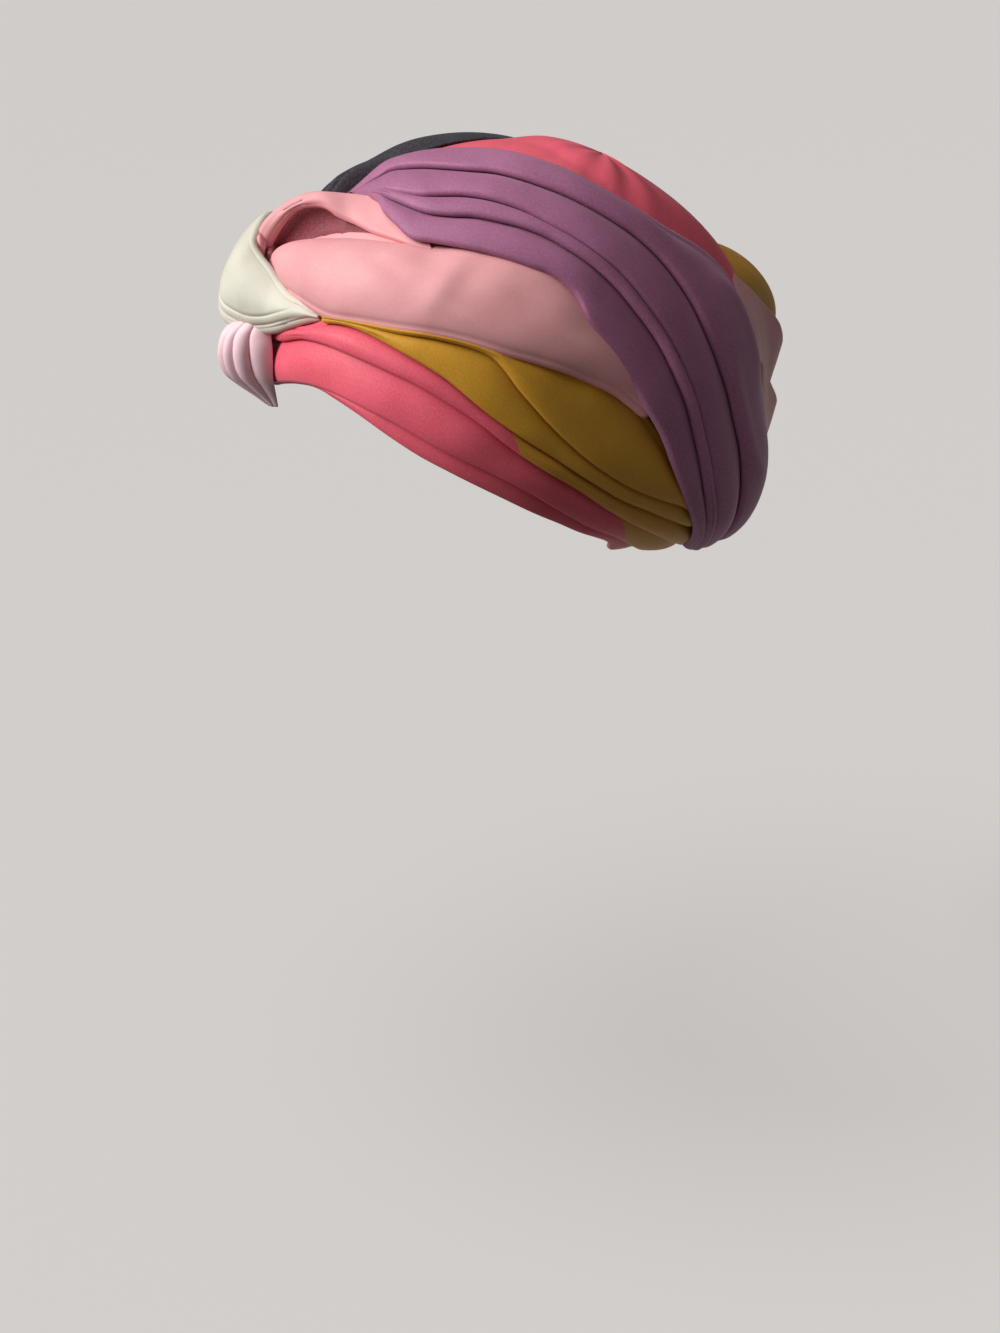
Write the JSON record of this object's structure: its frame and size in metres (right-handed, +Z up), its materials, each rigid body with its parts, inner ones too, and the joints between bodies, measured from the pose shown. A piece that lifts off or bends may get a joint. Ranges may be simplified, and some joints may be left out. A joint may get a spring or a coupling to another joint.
{
  "type": "turban headwrap",
  "caption": "Soft colour-blocked turban: a hollow cap wound with pleated bands that fan back from a looped knot at the front, held up as worn.",
  "frame": {"origin": "the middle of the head that wears it, 39 mm inside the rim's plane", "axes": "+Z up as worn, the face looks along -Y, the wearer's left side is +X, and the rim's plane tilts down to the back by 33 degrees"},
  "size_m": [0.1888, 0.2839, 0.2011],
  "materials": {
    "coral_cloth": "soft matt jersey with a faint sheen",
    "mustard_cloth": "soft matt jersey with a faint sheen",
    "rose_cloth": "soft matt jersey with a faint sheen",
    "sage_cloth": "soft matt jersey with a faint sheen",
    "plum_cloth": "soft matt jersey with a faint sheen",
    "charcoal_cloth": "soft matt jersey with a faint sheen",
    "blush_cloth": "soft matt jersey with a faint sheen"
  },
  "bodies": {
    "root": {"crown_cap": "coral_cloth", "brow_band": "coral_cloth", "side_pleats_left": "mustard_cloth", "side_pleats_right": "mustard_cloth", "puffed_band_left": "rose_cloth", "puffed_band_right": "sage_cloth", "fan_band_left": "plum_cloth", "fan_band_right": "charcoal_cloth", "front_arch": "rose_cloth", "knot_loop": "sage_cloth", "knot_gather": "blush_cloth", "back_lobe": "mustard_cloth", "back_fold_upper": "rose_cloth", "back_fold_lower": "rose_cloth"}
  },
  "joints": []
}
